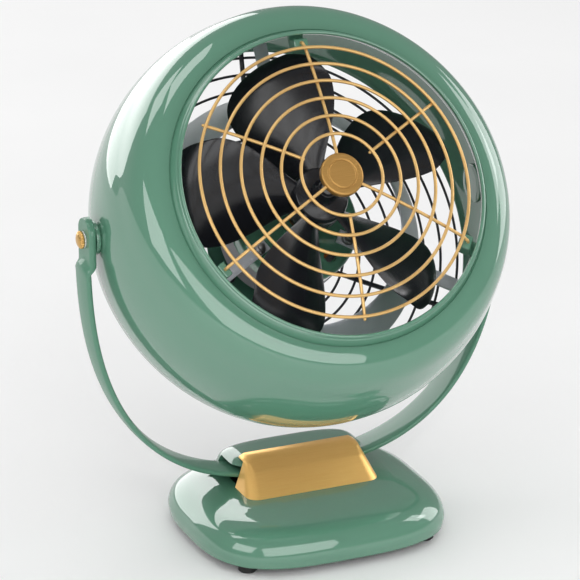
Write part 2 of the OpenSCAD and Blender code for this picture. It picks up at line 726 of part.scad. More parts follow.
// The rear plate closes the middle of the guard and stands off the ribs on three pads
rear_plate_z = guard_z(rib_inner_r) - 4;
rear_plate_t = 2.5;
rear_plate_r = 46;
pad_top = guard_z(plate_screw_circle);
switch_bush_r = 5;
cord_y = -30;
cord_hole_r = 5;
module rear_plate() color(green) in_head()
    translate([0, 0, rear_plate_z]) difference() {
        union() {
            rotate_extrude() polygon([[0, 0], [rear_plate_r - 3, 0], [rear_plate_r - 0.9, 0.9],
                [rear_plate_r, 3], [rear_plate_r, 3.4], [rear_plate_r - 2, 3.4],
                [rear_plate_r - 2, rear_plate_t], [0, rear_plate_t]]);
            around(strap_angles) translate([plate_screw_circle - 1, 0, 0])
                cylinder(r = 2.9, h = pad_top - rear_plate_z);
        }
        translate([0, 0, -1]) cylinder(r = switch_bush_r, h = 10);
        around(strap_angles) translate([plate_screw_circle, 0, -1]) cylinder(r = plate_screw_r, h = 12);
        translate([0, cord_y, -1]) cylinder(r = cord_hole_r, h = 10);
    }

module rear_plate_screws() color(steel) in_head()
    around(strap_angles) translate([plate_screw_circle, 0, rear_plate_z]) rotate([180, 0, 0])
        pan_screw(plate_screw_r, pad_top - rear_plate_z + rib_t, 3, 1.6);

switch_front = rear_plate_z + rear_plate_t;
module speed_switch() color(white) in_head()
    difference() {
        union() {
            translate([-13, -11, switch_front]) cube([26, 22, 13]);
            translate([0, 0, rear_plate_z - 4]) cylinder(r = switch_bush_r, h = 8);
        }
        translate([0, 0, rear_plate_z - 5]) cylinder(r = 3.05, h = 18);
    }

module switch_nut() color(steel) in_head()
    translate([0, 0, rear_plate_z - 2.5]) hex_nut(13, switch_bush_r, 2.5);

knob_face = rear_plate_z - 4.5;
knob_h = 14;
knob_r = 14;
module knob_insert() color(copper) in_head()
    translate([0, 0, knob_face - 9]) cylinder(r = 3, h = switch_front + 8 - knob_face + 9);

module speed_knob() color(gold) in_head()
    difference() {
        union() {
            translate([0, 0, knob_face - knob_h]) cylinder(r = knob_r - 1.5, h = knob_h);
            for (i = [0 : 15]) rotate([0, 0, 22.5 * i]) translate([knob_r - 1.5, 0, knob_face - knob_h + 1.5])
                cylinder(r = 1.5, h = knob_h - 1.5, $fn = 16);
            // Pointer ridge
            translate([-1.5, 0, knob_face - knob_h - 1]) cube([3, knob_r - 2, 1 + eps]);
        }
        translate([0, 0, knob_face - 9]) cylinder(r = 3, h = 20);
        translate([0, 0, knob_face - 1.2]) cylinder(r = 9, h = 5);
    }

// ---- wiring ----
capacitor_size = [22, 13, 14];
capacitor_y = 18;
module capacitor() color(white) in_head()
    translate([-capacitor_size[0] / 2, capacitor_y, switch_front]) cube(capacitor_size);

strap_foot = 4;
module capacitor_strap() color(steel) in_head()
    translate([-capacitor_size[0] / 2, capacitor_y + 3, switch_front]) difference() {
        union() {
            translate([-1, 0, 0]) cube([capacitor_size[0] + 2, 7, capacitor_size[2] + 1]);
            translate([-1 - strap_foot, 0, 0]) cube([capacitor_size[0] + 2 + 2 * strap_foot, 7, 1]);
        }
        translate([0, -1, -1]) cube([capacitor_size[0], 9, capacitor_size[2] + 1]);
    }

module motor_leads() color(black) in_head()
    for (a = [150, 170, 190]) rotate([0, 0, a])
        translate([24, 0, switch_front]) cylinder(r = 1.3, h = rear_housing_back - switch_front);

module cord_grommet() color(black) in_head()
    translate([0, cord_y, rear_plate_z - 2]) difference() {
        union() {
            cylinder(r = cord_hole_r, h = 6.5);
            cylinder(r = 7, h = 2);
            translate([0, 0, 4.5]) cylinder(r = 7, h = 2);
        }
        translate([0, 0, -1]) cylinder(r = 3.6, h = 10);
    }

// ---- everything is drawn here ----
base_shell();
base_plate();
ballast_weight();
rubber_feet();
foot_screws();
plate_screws();
yoke();
yoke_saddle();
yoke_clamp();
yoke_bolts();
yoke_nuts();
gold_cover();
head_shell();
pivot_bosses();
pivot_screws();
pivot_washers();
grille_tabs();
grille_rings();
grille_spokes();
grille_hub_cap();
grille_back_plate();
grille_screw();
motor_straps();
strap_bolts();
strap_nuts();
deflector_ring();
front_housing();
rear_housing();
stator_core();
stator_windings();
front_bearing();
rear_bearing();
bearing_retainers();
rear_guard_rings();
rear_guard_ribs();
rear_plate();
rear_plate_screws();
speed_switch();
switch_nut();
capacitor();
capacitor_strap();
motor_leads();
cord_grommet();
rotor_shaft();
rotor_core();
thrust_washers();
drive_pin();
fan_blade();
blade_nut();
speed_knob();
knob_insert();
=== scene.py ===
import json
import math

import bmesh
import bpy
from mathutils import Matrix, Vector


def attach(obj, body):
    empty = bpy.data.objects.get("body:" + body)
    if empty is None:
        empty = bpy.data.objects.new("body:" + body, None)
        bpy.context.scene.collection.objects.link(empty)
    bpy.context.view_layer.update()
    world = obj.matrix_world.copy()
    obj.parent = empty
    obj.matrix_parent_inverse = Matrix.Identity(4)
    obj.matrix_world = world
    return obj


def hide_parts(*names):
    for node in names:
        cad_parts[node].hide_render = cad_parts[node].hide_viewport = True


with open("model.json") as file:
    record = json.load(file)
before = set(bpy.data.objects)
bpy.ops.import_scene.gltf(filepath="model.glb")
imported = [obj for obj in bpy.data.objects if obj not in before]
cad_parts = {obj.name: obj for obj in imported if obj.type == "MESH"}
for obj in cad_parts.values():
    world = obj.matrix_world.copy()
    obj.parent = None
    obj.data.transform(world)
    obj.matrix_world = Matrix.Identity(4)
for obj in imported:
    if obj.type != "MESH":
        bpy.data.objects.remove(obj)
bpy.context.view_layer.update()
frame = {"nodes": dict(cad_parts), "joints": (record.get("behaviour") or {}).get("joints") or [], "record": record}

# ---------------------------------------------------------------- frames and sizes (millimetres)
MM = Matrix.Scale(0.001, 4)
JOINTS = {j["name"]: j for j in frame["joints"]}
PIVOT = Vector(JOINTS["head_tilt"]["pos_m"]) * 1000
HEAD_CENTRE = Vector(JOINTS["fan_spin"]["pos_m"]) * 1000
AXIS = Vector(JOINTS["fan_spin"]["axis"]).normalized()
SIDE = Vector((1, 0, 0))
TOP = AXIS.cross(SIDE)
# The head's own frame: +Z out of the grille, +Y to the top of the head
HEAD = MM @ Matrix.Translation(HEAD_CENTRE) @ Matrix((SIDE, TOP, AXIS)).transposed().to_4x4()
PIVOT_IN_HEAD = Vector(((PIVOT - HEAD_CENTRE).dot(SIDE), (PIVOT - HEAD_CENTRE).dot(TOP),
                        (PIVOT - HEAD_CENTRE).dot(AXIS)))

HEAD_R = 145
HEAD_AXIS_R = HEAD_R * 0.95
SHELL_T = 2.2
REAR_Z = 38
REAR_BEAD_R = 1.8
MOUTH_R = 106.3
MOUTH_Z = 74.7
WIRE_R = 1.15
DOME_R = 330
DOME_TOP = 91.8
RING_RADII = [28.8 + 13.3 * i for i in range(6)]
LONG_SPOKES = [88, -32, -152]
SHORT_SPOKES = [28, -92, -212]
YOKE_A = 157.3
YOKE_EXPONENT = 2.6
YOKE_END_R = 13.0
YOKE_JOGGLE = 3.4
YOKE_W = 24
YOKE_T = 5
YOKE_FLOOR = 36
YOKE_CROWN = 0.34


# ---------------------------------------------------------------- mesh helpers
def grid(rows, wrap_rows=False, wrap_cols=True):
    """Vertices and quads of a surface through rows of points of equal length."""
    count, width = len(rows), len(rows[0])
    verts = [p for row in rows for p in row]
    faces = []
    for i in range(count if wrap_rows else count - 1):
        for j in range(width if wrap_cols else width - 1):
            a, b = i * width, (i + 1) % count * width
            k = (j + 1) % width
            faces.append((a + j, a + k, b + k, b + j))
    return verts, faces


def join(*parts):
    """Several (vertices, faces) as one."""
    verts, faces = [], []
    for v, f in parts:
        start = len(verts)
        verts += list(v)
        faces += [tuple(start + i for i in face) for face in f]
    return verts, faces


def mark_sharp(mesh, degrees=38):
    """Shades a mesh smooth, apart from edges sharper than the given angle."""
    bm = bmesh.new()
    bm.from_mesh(mesh)
    bmesh.ops.recalc_face_normals(bm, faces=bm.faces)
    limit = math.radians(degrees)
    for face in bm.faces:
        face.smooth = True
    for edge in bm.edges:
        edge.smooth = len(edge.link_faces) != 2 or edge.calc_face_angle(0) < limit
    bm.to_mesh(mesh)
    bm.free()


def piece(name, shape, place, body, material, nodes, merge=0.0):
    """Makes an object from (vertices, faces) in millimetres, which stands for CAD nodes on a body."""
    mesh = bpy.data.meshes.new(name)
    mesh.from_pydata([tuple(v) for v in shape[0]], [], shape[1])
    if merge:
        bm = bmesh.new()
        bm.from_mesh(mesh)
        bmesh.ops.remove_doubles(bm, verts=bm.verts, dist=merge)
        bm.to_mesh(mesh)
        bm.free()
    mesh.transform(place)
    mark_sharp(mesh)
    obj = bpy.data.objects.new(name, mesh)
    bpy.context.scene.collection.objects.link(obj)
    mesh.materials.append(material)
    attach(obj, body)
    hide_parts(*nodes)
    return obj


def apply_modifiers(obj):
    """Turns an object's modifiers into plain geometry."""
    graph = bpy.context.evaluated_depsgraph_get()
    mesh = bpy.data.meshes.new_from_object(obj.evaluated_get(graph))
    obj.modifiers.clear()
    obj.data = mesh


def softened(node, body, material, width):
    """A CAD node's own shape with its sharp edges rounded."""
    source = frame["nodes"][node].data
    bm = bmesh.new()
    bm.from_mesh(source)
    bmesh.ops.remove_doubles(bm, verts=bm.verts, dist=1e-6)
    bmesh.ops.dissolve_limit(bm, angle_limit=math.radians(1), verts=bm.verts, edges=bm.edges)
    mesh = bpy.data.meshes.new(node + "_rounded")
    bm.to_mesh(mesh)
    bm.free()
    obj = bpy.data.objects.new(node + "_rounded", mesh)
    bpy.context.scene.collection.objects.link(obj)
    bevel = obj.modifiers.new("edges", "BEVEL")
    bevel.width = width / 1000
    bevel.segments = 2
    bevel.limit_method = "ANGLE"
    bevel.angle_limit = math.radians(35)
    apply_modifiers(obj)
    mark_sharp(obj.data)
    obj.data.materials.clear()
    obj.data.materials.append(material)
    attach(obj, body)
    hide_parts(node)
    return obj


# ---------------------------------------------------------------- curves and outlines
def arc(centre, radius, start, end, steps):
    """Points on a circle in a plane, from one angle to another."""
    return [(centre[0] + radius * math.cos(math.radians(start + (end - start) * i / steps)),
             centre[1] + radius * math.sin(math.radians(start + (end - start) * i / steps)))
            for i in range(steps + 1)]


def rounded(points, radius, steps, closed=False):
    """A polyline with its corners rounded."""
    out = []
    count = len(points)
    for i, p in enumerate(points):
        p = Vector(p)
        if not closed and i in (0, count - 1):
            out.append(tuple(p))
            continue
        before = Vector(points[i - 1]) - p
        after = Vector(points[(i + 1) % count]) - p
        reach = min(radius, before.length * 0.45, after.length * 0.45)
        start, end = p + before.normalized() * reach, p + after.normalized() * reach
        for k in range(steps + 1):
            t = k / steps
            out.append(tuple((1 - t) ** 2 * start + 2 * t * (1 - t) * p + t * t * end))
    return out


def blend(before, after, steps):
    """Points of a smooth curve from the end of one outline to the start of the next."""
    start, end = Vector(before[1]), Vector(after[0])
    reach = (end - start).length
    out_of = (start - Vector(before[0])).normalized() * reach
    into = (Vector(after[1]) - end).normalized() * reach
    points = []
    for i in range(1, steps):
        t = i / steps
        points.append(tuple((2 * t ** 3 - 3 * t ** 2 + 1) * start + (t ** 3 - 2 * t ** 2 + t) * out_of
                            + (3 * t ** 2 - 2 * t ** 3) * end + (t ** 3 - t ** 2) * into))
    return points


def lathe(profile, segments, closed=True):
    """Turns an outline of (radius, height) points round Z."""
    rows = []
    for r, z in profile:
        rows.append([(r * math.cos(2 * math.pi * i / segments), r * math.sin(2 * math.pi * i / segments), z)
                     for i in range(segments)])
    return grid(rows, wrap_rows=closed)


def tube(path, radius):
    """A round wire along 3-D points, with domed ends."""
    sides = 12
    points = [Vector(p) for p in path]
    first, last = points[1] - points[0], points[-1] - points[-2]
    dome_steps = (0.98, 0.75, 0.4)
    lead = [points[0] - first.normalized() * radius * s for s in dome_steps]
    tail = [points[-1] + last.normalized() * radius * s for s in dome_steps[::-1]]
    shrink = [math.sqrt(1 - s * s) * radius for s in dome_steps]
    radii = shrink + [radius] * len(points) + shrink[::-1]
    points = lead + points + tail
    rows = []
    normal = None
    for i, p in enumerate(points):
        ahead = points[min(i + 1, len(points) - 1)]
        behind = points[max(i - 1, 0)]
        tangent = (ahead - behind).normalized()
        if normal is None:
            normal = tangent.orthogonal().normalized()
        normal = (normal - tangent * normal.dot(tangent)).normalized()
        other = tangent.cross(normal)
        rows.append([p + radii[i] * (normal * math.cos(2 * math.pi * k / sides)
                                     + other * math.sin(2 * math.pi * k / sides)) for k in range(sides)])
    verts, faces = grid(rows)
    faces.append(tuple(range(sides))[::-1])
    faces.append(tuple((len(rows) - 1) * sides + k for k in range(sides)))
    return verts, faces


def torus(radius, z, wire):
    """A ring of round wire round Z."""
    segments, sides = 160, 16
    return lathe(arc((radius, z), wire, 0, 360 * (sides - 1) / sides, sides - 1), segments)


def turned(shape, degrees):
    """A shape turned round Z."""
    turn = Matrix.Rotation(math.radians(degrees), 4, "Z")
    return [turn @ Vector(v) for v in shape[0]], shape[1]


def superellipse(half_x, half_y, exponent, middle_y, z, sides):
    """A rounded rectangle at one height: exponent 2 is an ellipse and more is squarer."""
    out = []
    for i in range(sides):
        t = 2 * math.pi * i / sides
        c, s = math.cos(t), math.sin(t)
        out.append(Vector((half_x * math.copysign(abs(c) ** (2 / exponent), c),
                           middle_y + half_y * math.copysign(abs(s) ** (2 / exponent), s), z)))
    return out


def smooth_step(x):
    """Rises smoothly from 0 to 1 as x does."""
    x = max(0.0, min(1.0, x))
    return x * x * (3 - 2 * x)


# ---------------------------------------------------------------- materials
def linear(r, g, b):
    """A colour as it looks on a screen, 0 to 255, as linear light."""
    def one(v):
        v /= 255
        return v / 12.92 if v <= 0.04045 else ((v + 0.055) / 1.055) ** 2.4
    return one(r), one(g), one(b), 1.0


class Paint:
    """A Principled material whose colour, roughness and relief come from noise."""

    def __init__(self, name, **sockets):
        self.material = bpy.data.materials.new(name)
        self.material.use_nodes = True
        self.tree = self.material.node_tree
        self.shader = self.tree.nodes["Principled BSDF"]
        for key, value in sockets.items():
            self.shader.inputs[key.replace("_", " ")].default_value = value
        self.place = self.tree.nodes.new("ShaderNodeTexCoord").outputs["Object"]

    def stretched(self, scale):
        node = self.tree.nodes.new("ShaderNodeMapping")
        node.inputs["Scale"].default_value = scale
        self.tree.links.new(self.place, node.inputs["Vector"])
        return node.outputs["Vector"]

    def noise(self, scale, detail=3.0, stretch=None):
        node = self.tree.nodes.new("ShaderNodeTexNoise")
        node.inputs["Scale"].default_value = scale
        node.inputs["Detail"].default_value = detail
        self.tree.links.new(self.stretched(stretch) if stretch else self.place, node.inputs["Vector"])
        return node.outputs["Fac"]

    def colours(self, fac, low, high, start=0.3, end=0.7):
        ramp = self.tree.nodes.new("ShaderNodeValToRGB")
        ramp.color_ramp.elements[0].color = low
        ramp.color_ramp.elements[0].position = start
        ramp.color_ramp.elements[1].color = high
        ramp.color_ramp.elements[1].position = end
        self.tree.links.new(fac, ramp.inputs["Fac"])
        self.tree.links.new(ramp.outputs["Color"], self.shader.inputs["Base Color"])
        return self

    def roughness(self, fac, low, high):
        node = self.tree.nodes.new("ShaderNodeMapRange")
        node.inputs["From Min"].default_value = 0.3
        node.inputs["From Max"].default_value = 0.7
        node.inputs["To Min"].default_value = low
        node.inputs["To Max"].default_value = high
        self.tree.links.new(fac, node.inputs["Value"])
        self.tree.links.new(node.outputs["Result"], self.shader.inputs["Roughness"])
        return self

    def relief(self, fac, depth_mm, strength):
        node = self.tree.nodes.new("ShaderNodeBump")
        node.inputs["Strength"].default_value = strength
        node.inputs["Distance"].default_value = depth_mm / 1000
        self.tree.links.new(fac, node.inputs["Height"])
        self.tree.links.new(node.outputs["Normal"], self.shader.inputs["Normal"])
        return self


def enamel(name, dark, light, gloss=1.0):
    """Glossy paint: a rough coloured layer, with a faint orange peel, under a clear coat."""
    paint = Paint(name, Coat_Weight=gloss, Coat_Roughness=0.02, Coat_IOR=1.85, Specular_IOR_Level=0.1)
    paint.colours(paint.noise(14), dark, light)
    paint.roughness(paint.noise(900), 0.4, 0.5)
    paint.relief(paint.noise(420, 1.5), 0.006, 0.15)
    return paint.material


def brushed(name, dark, light, along, rough, relief, metallic=0.6):
    """Metal with fine parallel brush lines along one axis of the world."""
    across = [4200.0 if axis != along else 60.0 for axis in "XYZ"]
    paint = Paint(name, Metallic=metallic)
    lines = paint.noise(1.0, 4.0, across)
    paint.colours(lines, dark, light, 0.25, 0.75)
    paint.roughness(lines, *rough)
    paint.relief(lines, relief, 0.5)
    return paint.material


def satin(name, dark, light, metallic, rough, grain=700.0, depth=0.01):
    """A plain finish with a fine grain, for plastic, wire, plating, rubber and cast metal."""
    paint = Paint(name, Metallic=metallic)
    paint.colours(paint.noise(60), dark, light)
    paint.roughness(paint.noise(grain, 4.0), *rough)
    paint.relief(paint.noise(grain), depth, 0.4)
    return paint.material


GREEN = enamel("green_enamel", linear(85, 135, 111), linear(89, 139, 115))
GREEN_YOKE = enamel("green_enamel_yoke", linear(85, 135, 111), linear(89, 139, 115), 0.4)
GOLD_SHEET = brushed("brushed_gold_sheet", linear(246, 190, 106), linear(253, 204, 122), "X",
                     (0.28, 0.36), 0.004, 0.5)
GOLD_CAP = brushed("brushed_gold_cap", linear(172, 130, 66), linear(190, 146, 80), "X",
                   (0.34, 0.42), 0.004)
GOLD_WIRE = satin("gold_wire", linear(218, 176, 110), linear(226, 186, 120), 0.45, (0.28, 0.4))
GOLD_SCREW = satin("gold_screw", linear(196, 156, 92), linear(216, 176, 112), 1.0, (0.25, 0.38))
BLACK = satin("black_gloss_plastic", linear(24, 25, 30), linear(30, 31, 36), 0.0,
              (0.16, 0.26), 900.0, 0.012)
DARK_WIRE = satin("dark_enamel", linear(44, 46, 52), linear(54, 56, 62), 0.2, (0.3, 0.42))
GREY = satin("grey_sheet_steel", linear(206, 208, 216), linear(216, 218, 226), 0.0, (0.34, 0.48))
ZINC = satin("zinc_plate", linear(168, 168, 170), linear(192, 192, 192), 1.0, (0.28, 0.44))
RUBBER = satin("black_rubber", linear(18, 18, 18), linear(28, 28, 28), 0.0, (0.6, 0.8), 1600.0, 0.03)
IRON = satin("cast_iron", linear(62, 62, 64), linear(80, 80, 82), 0.6, (0.55, 0.75), 900.0, 0.06)
LAMINATED = brushed("lamination_stack", linear(96, 96, 98), linear(150, 150, 152), "X",
                    (0.4, 0.55), 0.05)
COPPER = brushed("copper_windings", linear(160, 92, 46), linear(200, 124, 70), "X", (0.3, 0.4), 0.08)
BRONZE = satin("sintered_bronze", linear(150, 112, 66), linear(176, 136, 84), 1.0, (0.4, 0.55))
NYLON = satin("white_nylon", linear(214, 214, 208), linear(226, 226, 220), 0.0, (0.4, 0.55))

SLOT_LOOKS = {"green_paint": GREEN, "gold_metal": GOLD_SHEET, "black_plastic": BLACK,
              "dark_enamel": DARK_WIRE, "grey_steel": GREY, "zinc_steel": ZINC, "iron": IRON,
              "laminations": LAMINATED, "copper": COPPER, "bronze": BRONZE, "black_rubber": RUBBER,
              "white_nylon": NYLON}


def dress_cad_nodes():
    """Gives every CAD node the look of its material slot."""
    for row in frame["record"]["subparts"]:
        mesh = frame["nodes"][row["node"]].data
        mesh.materials.clear()
        mesh.materials.append(SLOT_LOOKS[row["material_slot"]])


# ---------------------------------------------------------------- head casing
def casing_point(inset, degrees):
    """A point on the casing's spheroid, or on one that lies inside it."""
    t = math.radians(degrees)
    return (HEAD_R - inset) * math.cos(t), (HEAD_AXIS_R - inset) * math.sin(t)


def make_casing():
    """One turned sheet: round side, shoulder, collar, bead at the mouth, and a rolled rear edge."""
    rear_angle = -math.degrees(math.asin(REAR_Z / HEAD_AXIS_R))
    shoulder_r = 20.7
    turn = math.radians(23)
    shoulder = ((HEAD_R - shoulder_r) * math.cos(turn) + 0.9,
                (HEAD_AXIS_R - shoulder_r) * math.sin(turn))
    steps = 40
    side_end, lining_end = 15, 22
    outside = [casing_point(0, rear_angle + (side_end - rear_angle) * i / steps)
               for i in range(1, steps + 1)]
    crest = arc(shoulder, shoulder_r, 42, 97, 20)
    outside += blend(outside[-2:], crest[:2], 12)
    collar = rounded([crest[-1], (MOUTH_R + 5.9, MOUTH_Z - 9.6), (MOUTH_R + 3.4, MOUTH_Z - 2.6),
                      (MOUTH_R + 2.1, MOUTH_Z - 2.0)], 2.6, 6)
    bead = arc((MOUTH_R + 1.2, MOUTH_Z - 1.2), 1.2, 10, 190, 12)
    within = [(MOUTH_R + 0.3, MOUTH_Z - 3.2), (MOUTH_R + 3.2, MOUTH_Z - 10.8)]
    inner_crest = arc(shoulder, shoulder_r - SHELL_T, 95, 29, 16)
    inside = [casing_point(SHELL_T, lining_end + (rear_angle - lining_end) * i / steps)
              for i in range(steps)]
    rear_r = HEAD_R * math.cos(math.radians(rear_angle))
    rolled = arc((rear_r - REAR_BEAD_R, -REAR_Z), REAR_BEAD_R, 120, 360, 16)
    profile = outside + crest + collar[1:] + bead + within + inner_crest + inside + rolled
    piece("head_casing", lathe(profile, 256), HEAD, "head", GREEN, ["head_shell"])


# ---------------------------------------------------------------- front grille
def dome(r):
    """Height of the front grille's dish at a radius."""
    return DOME_TOP - DOME_R + math.sqrt(DOME_R ** 2 - r * r)


def make_grille():
    """Six rings on six spokes, of which three are longer and bend back to the tabs."""
    rings = join(*[torus(r, dome(r), WIRE_R) for r in RING_RADII])
    piece("front_grille_rings", rings, HEAD, "head", GOLD_WIRE, ["grille_rings"])
    drop = 2 * WIRE_R - 0.15
    wires = []
    for angle in SHORT_SPOKES:
        radii = [RING_RADII[0] - 1 + (RING_RADII[-1] - RING_RADII[0] + 2.4) * i / 16 for i in range(17)]
        wires.append(turned(tube([(r, 0, dome(r) - drop) for r in radii], WIRE_R), angle))
    inner_end, post, bend_r = 8, 101.5, 3.6
    for angle in LONG_SPOKES:
        radii = [inner_end + (post - 4 - inner_end) * i / 20 for i in range(21)]
        line = [(r, 0, dome(r) - drop) for r in radii]
        top = dome(post) - drop
        bend = arc((post - bend_r, top - bend_r), bend_r, 82, 0, 8)
        line += [(x, 0, z) for x, z in bend] + [(post, 0, 70), (post, 0, 66)]
        wires.append(turned(tube(line, WIRE_R), angle))
    piece("front_grille_spokes", join(*wires), HEAD, "head", GOLD_WIRE, ["grille_spokes"])


def make_hub_cap():
    """A flat cap with a ring-shaped groove."""
    top = DOME_TOP + 0.2
    r = 15
    outline = [(0.0, top - 0.1), (8.9, top - 0.1), (9.3, top - 0.2), (9.6, top - 0.55), (10.2, top - 0.55),
               (10.5, top - 0.2), (10.9, top - 0.12), (r - 1.3, top - 0.12), (r - 0.5, top - 0.4),
               (r, top - 1.1), (r, top - 4.6), (r - 1.4, top - 4.6), (r - 1.4, top - 2.2), (0.0, top - 2.2)]
    shape = lathe(rounded(outline, 0.3, 3), 128, closed=False)
    piece("hub_cap_disc", shape, HEAD, "head", GOLD_CAP, ["grille_hub_cap"], merge=1e-4)


def make_tabs():
    """Small bent brackets that hold the ends of the long spokes."""
    parts = []
    middle = Vector((103, 65))
    outline = rounded([(97.4, 60.6), (113.2, 60.6), (113.2, 63.6), (106.0, 63.8), (105.6, 66.0),
                       (104.4, 70.8), (98.6, 70.8), (97.4, 66.0)], 1.2, 4, closed=True)
    for angle in LONG_SPOKES:
        rows = []
        for y, inset in ((-5, 0.5), (-4.5, 0), (4.5, 0), (5, 0.5)):
            rows.append([Vector((*(Vector(p) - (Vector(p) - middle).normalized() * inset), y))
                         for p in outline])
        rows = [[Vector((p.x, p.z, p.y)) for p in row] for row in rows]
        verts, faces = grid(rows)
        width = len(outline)
        faces += [tuple(range(width))[::-1], tuple((len(rows) - 1) * width + k for k in range(width))]
        parts.append(turned((verts, faces), angle))
    piece("spoke_tabs", join(*parts), HEAD, "head", GREEN, ["grille_tabs"])


# ---------------------------------------------------------------- blades
def blade_surface(side):
    """Front or back skin of one blade: a paddle, pitched and cambered, with a thin rounded edge."""
    steps_r, steps_c = 48, 32
    root, tip = 16.0, 103.6
    root_chord, full_chord, widest_at = 22, 78, 0.75
    round_from, round_over = 0.72, 0.2815
    root_pitch, tip_pitch = 46, 28
    tip_lean, lean_from = math.radians(8), 0.8
    camber_height, middle_z = 3.2, 40
    rows = []
    for i in range(steps_r + 1):
        f = math.sin(math.pi / 2 * i / steps_r)
        r = root + (tip - root) * f
        widening = math.sin(math.pi / 2 * min(1.0, f / widest_at)) ** 1.25
        chord = root_chord + (full_chord - root_chord) * widening
        if f > round_from:
            chord *= math.sqrt(max(0.003, 1 - ((f - round_from) / round_over) ** 2))
        pitch = math.radians(root_pitch + (tip_pitch - root_pitch) * f)
        lean = -tip_lean * max(0.0, (f - lean_from) / (1 - lean_from)) ** 2
        row = []
        for j in range(steps_c + 1):
            c = 0.5 - 0.5 * math.cos(math.pi * j / steps_c)
            s = chord * (c - 0.5)
            edge = (4 * c * (1 - c)) ** 0.4 * min(1.0, (1.0 - f) * 14 + 0.1)
            camber = camber_height * (1 - 4 * (c - 0.5) ** 2)
            turn = s * math.cos(pitch) / r + lean
            z = middle_z - s * math.sin(pitch) + camber + side * edge
            row.append(Vector((r * math.cos(turn), r * math.sin(turn), z)))
        rows.append(row)
    return rows


def make_blades():
    """Five blades on one hub, and the nut that holds them."""
    front, back = blade_surface(1), blade_surface(-1)
    rim = [ahead + behind[::-1] for ahead, behind in zip(front, back)]
    verts, faces = grid(rim)
    width = len(rim[0])
    half = len(front[0])
    last = (len(rim) - 1) * width
    for j in range(half - 1):
        faces.append((last + j, last + j + 1, last + width - 2 - j, last + width - 1 - j))
        faces.append((j + 1, j, width - 1 - j, width - 2 - j))
    first_angle, count, bore = 25, 5, 4.1
    blades = [turned((verts, faces), first_angle + 360 / count * k) for k in range(count)]
    hub = lathe(rounded([(bore, 28), (18.6, 28), (20, 29.4), (20, 46), (18.5, 49.5), (12, 51.4),
                         (9.6, 52), (bore, 52)], 1.2, 4, closed=True), 128)
    piece("blade_set", join(hub, *blades), HEAD, "rotor", BLACK, ["fan_blade"])
    nut = lathe(rounded([(bore, 52.1), (9, 52.1), (9, 55.6), (8, 57.4), (6.6, 61.8), (bore, 62)],
                        0.7, 4, closed=True), 96)
    piece("blade_spinner_nut", nut, HEAD, "rotor", BLACK, ["blade_nut"])


# ---------------------------------------------------------------- deflector
def make_deflector():
    """A thin cone, widest at the back."""
    outline = rounded([(78, -4), (79.2, -4.9), (100, -31.2), (100, -32), (99, -32), (98.2, -31),
                       (76.9, -4.6), (76.9, -4)], 0.4, 3, closed=True)
    piece("deflector_cone", lathe(outline, 192), HEAD, "head", GREY, ["deflector_ring"])


# ---------------------------------------------------------------- rear guard
GUARD_EDGE_Z = -40
GUARD_RISE = 26
GUARD_R = 138


def guard(r):
    """Height of the rear guard's dish at a radius."""
    return GUARD_EDGE_Z - GUARD_RISE * (1 - (r / GUARD_R) ** 2)


def make_rear_guard():
    """Eight wire rings on the back of the ribs."""
    wire, sunk = 0.95, 0.04
    radii = [54.8 + 11.2 * i for i in range(8)]
    rings = join(*[torus(r, guard(r) - wire + sunk, wire) for r in radii])
    piece("rear_guard_wires", rings, HEAD, "head", DARK_WIRE, ["rear_guard_rings"])


# ---------------------------------------------------------------- yoke
def yoke_line():
    """The middle of the band, from the left end to the right one, in the plane of the yoke."""
    a, b = YOKE_A - YOKE_T / 2, PIVOT.z - YOKE_FLOOR - YOKE_T / 2
    top = PIVOT.z + 14.6
    level = PIVOT.z - 22
    straight = 16
    left = [(-a, top - (top - level) * i / (straight - 1)) for i in range(straight)]
    steps = 180
    for i in range(steps + 1):
        t = math.pi * i / steps
        c = math.cos(t)
        x = -a * math.copysign(abs(c) ** (2 / YOKE_EXPONENT), c)
        z = PIVOT.z - b * math.sin(t) ** (2 / YOKE_EXPONENT)
        if z < level - 1:
            left.append((x, z))
    left += [(-x, z) for x, z in left[:straight][::-1]]
    return [Vector((x, 0, z)) for x, z in left]


